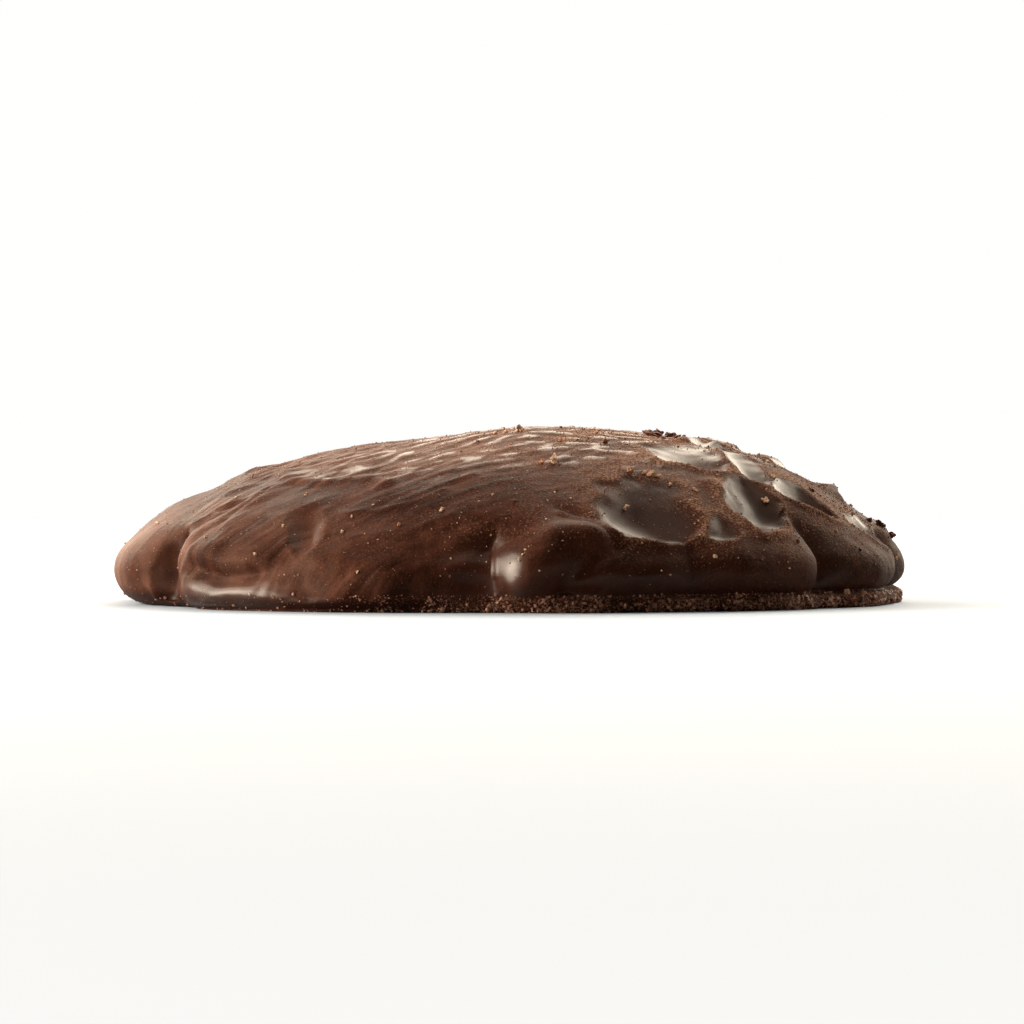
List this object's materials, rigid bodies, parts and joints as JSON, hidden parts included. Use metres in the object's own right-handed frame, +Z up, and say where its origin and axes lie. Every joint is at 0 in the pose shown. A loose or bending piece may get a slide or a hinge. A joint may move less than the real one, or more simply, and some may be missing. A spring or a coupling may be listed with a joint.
{
  "type": "mint chocolate cookie",
  "caption": "Round domed biscuit with a scalloped edge and a flat underside, enrobed in glossy dark chocolate with thumbed hollows, flow streaks, a thin foot and a dusting of crumbs.",
  "frame": {"origin": "centre of the cookie's outline on the flat underside that it rests on", "axes": "+Z up through the top of the dome, -Y towards the side that the picture shows, +X to that side's right"},
  "size_m": [0.0596, 0.0604, 0.0137],
  "materials": {
    "dark_chocolate": "satin to glossy dark chocolate, dusted with fine lighter crumbs"
  },
  "bodies": {
    "root": {"cookie": "dark_chocolate"}
  },
  "joints": []
}
